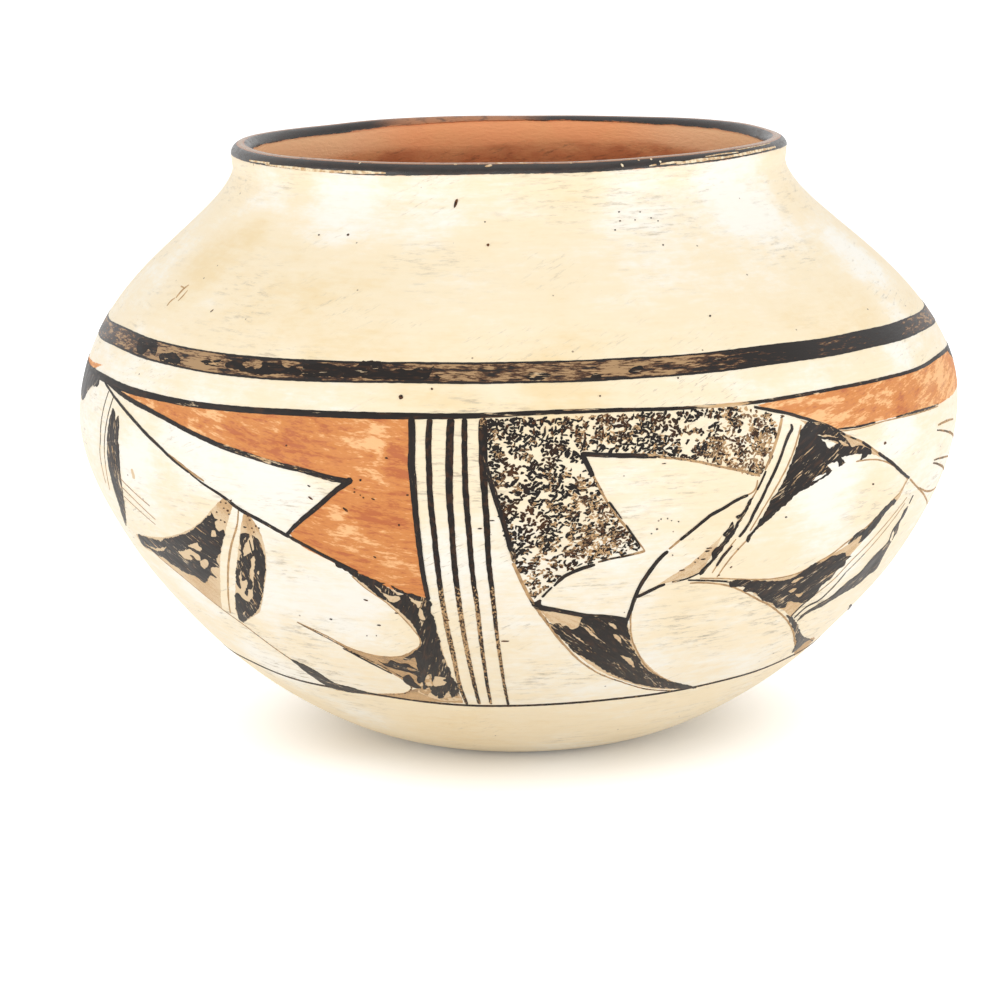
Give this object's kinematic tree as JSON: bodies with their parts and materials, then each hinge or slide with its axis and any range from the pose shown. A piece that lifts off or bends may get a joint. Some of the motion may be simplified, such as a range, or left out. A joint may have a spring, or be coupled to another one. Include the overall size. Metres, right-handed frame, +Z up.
{
  "type": "clay pot",
  "caption": "Coil-built clay jar with a low wide belly, sloping shoulder and open rimmed mouth, for storing food or water.",
  "frame": {"origin": "on the surface that the pot stands on, below the middle of the belly", "axes": "+Z up through the mouth; -Y towards the side of the painted frieze that the picture shows"},
  "size_m": [0.28, 0.28, 0.1898],
  "materials": {
    "cream_slip": "satin, burnished slip over fired clay",
    "black_paint": "satin, burnished paint over fired clay"
  },
  "bodies": {
    "root": {"moulded_base": "cream_slip", "wall_coil_1": "cream_slip", "wall_coil_2": "cream_slip", "wall_coil_3": "cream_slip", "wall_coil_4": "cream_slip", "wall_coil_5": "cream_slip", "wall_coil_6": "cream_slip", "wall_coil_7": "cream_slip", "wall_coil_8": "cream_slip", "rim_coil": "black_paint"}
  },
  "joints": []
}
